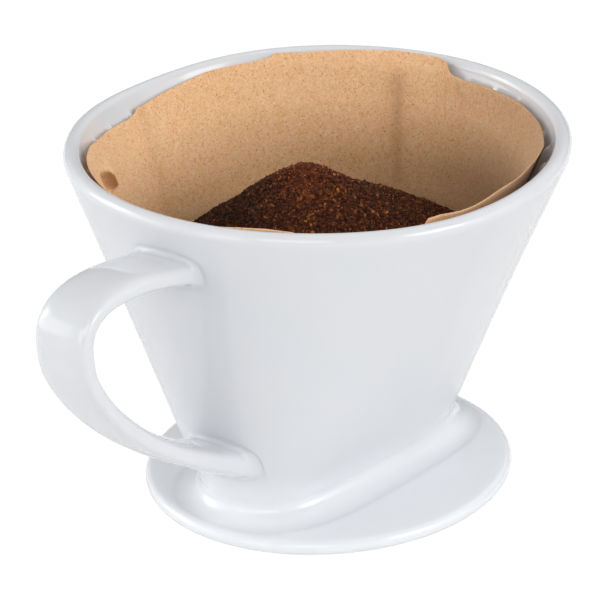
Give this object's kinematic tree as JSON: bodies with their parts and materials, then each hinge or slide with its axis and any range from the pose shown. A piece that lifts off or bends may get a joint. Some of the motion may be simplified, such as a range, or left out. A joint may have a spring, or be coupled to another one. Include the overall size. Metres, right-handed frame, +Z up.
{
  "type": "pour over dripper",
  "caption": "White glazed porcelain pour over coffee dripper with a round flange and strap handle, lined with a brown filter paper that holds a heap of ground coffee.",
  "frame": {"origin": "centre of the flange's underside, the face that rests on the mug", "axes": "+Z up out of the cone's mouth, X along the long side of the oval base with the handle at -X"},
  "size_m": [0.1609, 0.1226, 0.0985],
  "materials": {
    "porcelain": "gloss glaze",
    "porcelain_foot": "unglazed at the foot edge",
    "filter_paper": "unbleached, fibrous, matt",
    "ground_coffee": "loose dry grounds, matt"
  },
  "bodies": {
    "dripper": {"cone_body": "porcelain", "saucer_flange": "porcelain", "locating_ring": "porcelain_foot", "handle": "porcelain"},
    "filter": {"paper_filter": "filter_paper"},
    "grounds": {"coffee_grounds": "ground_coffee"}
  },
  "joints": [
    {"name": "filter_lift", "type": "slide", "parent": "dripper", "child": "filter", "axis": [0, 0, 1], "range_m": [0, 0.11]},
    {"name": "grounds_lift", "type": "slide", "parent": "filter", "child": "grounds", "axis": [0, 0, 1], "range_m": [0, 0.1]}
  ]
}
